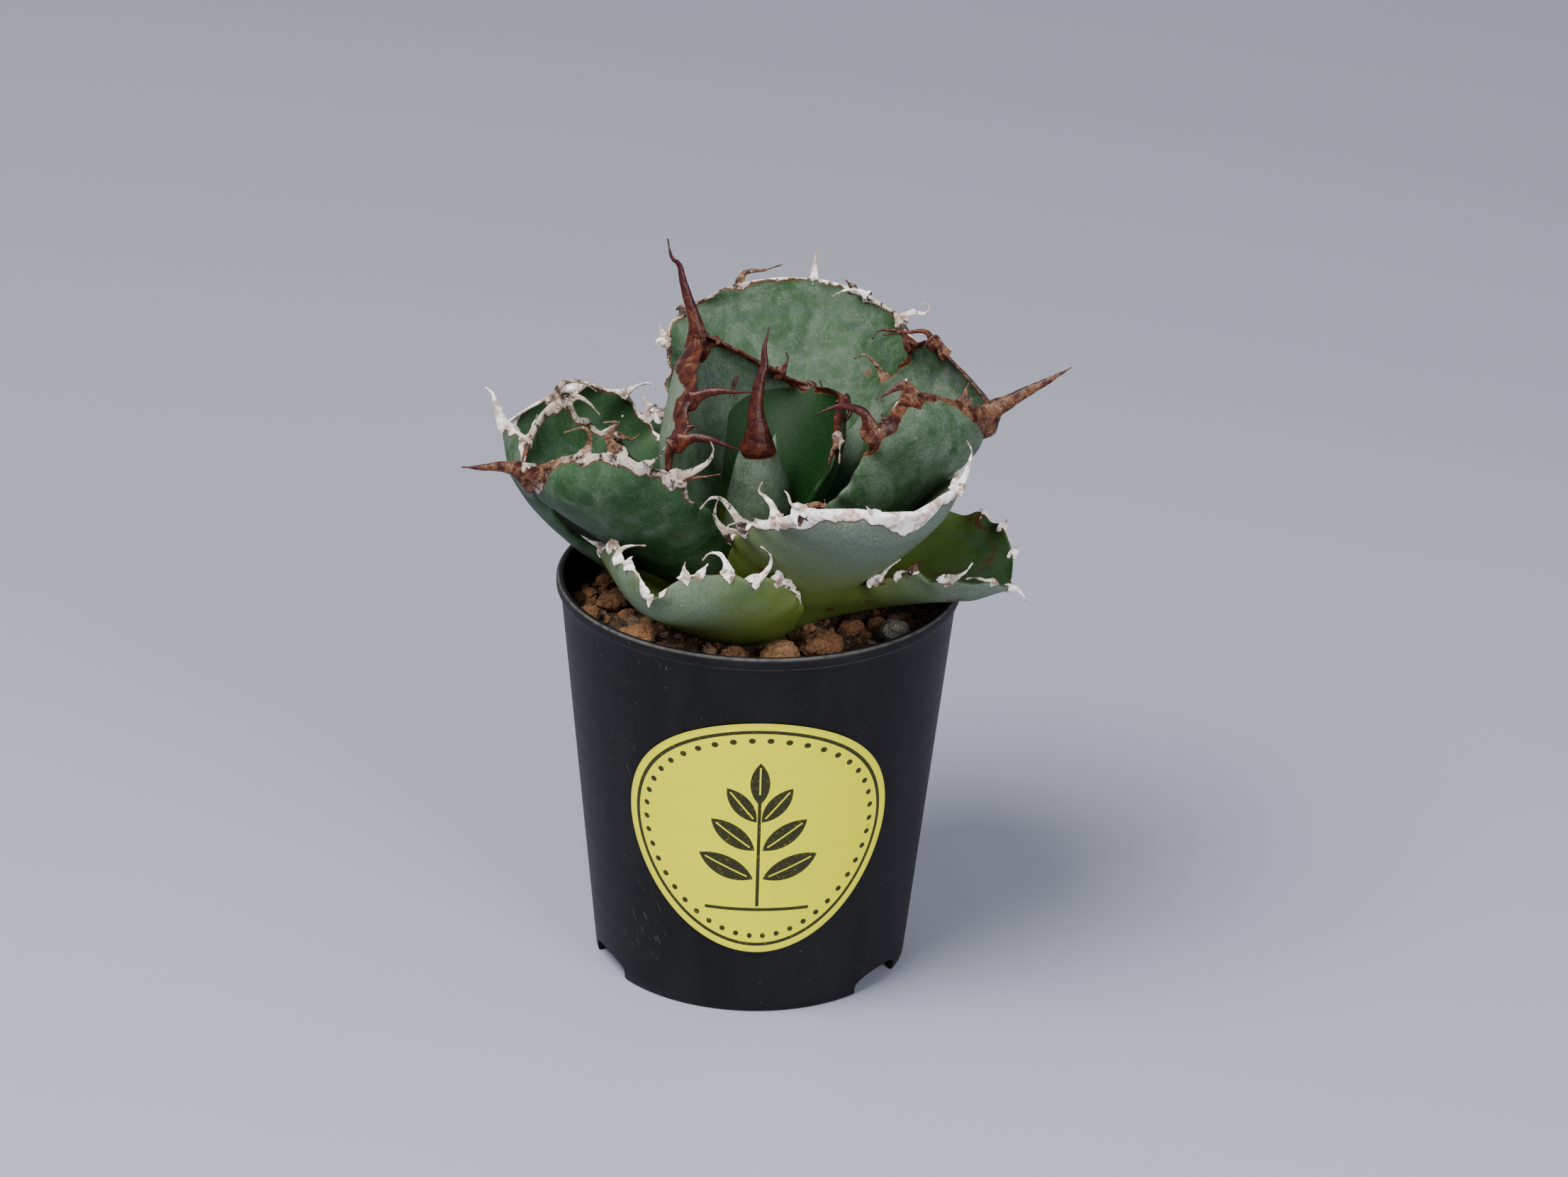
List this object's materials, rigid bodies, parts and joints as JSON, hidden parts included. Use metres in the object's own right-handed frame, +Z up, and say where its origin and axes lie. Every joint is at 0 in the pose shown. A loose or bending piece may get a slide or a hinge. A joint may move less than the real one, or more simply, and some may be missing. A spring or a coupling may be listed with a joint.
{
  "type": "potted agave",
  "caption": "Low rosette agave with broad blue-green leaves, white and brown horny margins and curled spines, in gritty soil in a round black nursery pot with a yellow label.",
  "frame": {"origin": "centre of the pot's base, on the surface that the pot stands on", "axes": "+Z up; -Y is the side that carries the label; +X is to the right of someone facing the label"},
  "size_m": [0.1096, 0.0886, 0.1369],
  "materials": {
    "pot_plastic": "black moulded plastic, lightly scuffed and dusty at the rim",
    "label_film": null,
    "soil_mix": "fine dark crumbs between the granules",
    "soil_granule": "orange-tan clay granules and grey pumice, dull and porous",
    "stem_tissue": "pale yellow-green, fibrous",
    "leaf_blade": "waxy blue-green leaf with a cloudy pale bloom, horny margin from white to red-brown"
  },
  "bodies": {
    "root": {"nursery_pot": "pot_plastic", "label_sticker": "label_film", "soil_bed": "soil_mix", "stem": "stem_tissue", "heart_bud": "leaf_blade", "leaf_heart_right": "leaf_blade", "leaf_heart_front": "leaf_blade", "leaf_inner_left": "leaf_blade", "leaf_right": "leaf_blade", "leaf_left": "leaf_blade", "leaf_back": "leaf_blade", "leaf_front_right": "leaf_blade", "leaf_far_left": "leaf_blade", "leaf_low_back_right": "leaf_blade", "leaf_low_front": "leaf_blade", "leaf_low_back_left": "leaf_blade", "leaf_low_right": "leaf_blade", "soil_lump_01": "soil_granule", "soil_lump_02": "soil_granule", "soil_lump_03": "soil_granule", "soil_lump_04": "soil_granule", "soil_lump_05": "soil_granule", "soil_lump_06": "soil_granule", "soil_lump_07": "soil_granule", "soil_lump_08": "soil_granule", "soil_lump_09": "soil_granule", "soil_lump_10": "soil_granule", "soil_lump_11": "soil_granule", "soil_lump_12": "soil_granule", "soil_lump_13": "soil_granule", "soil_lump_14": "soil_granule", "soil_lump_15": "soil_granule", "soil_lump_16": "soil_granule", "soil_lump_17": "soil_granule", "soil_lump_18": "soil_granule", "soil_lump_19": "soil_granule", "soil_lump_20": "soil_granule", "soil_lump_21": "soil_granule", "soil_lump_22": "soil_granule", "soil_lump_23": "soil_granule", "soil_lump_24": "soil_granule"}
  },
  "joints": []
}
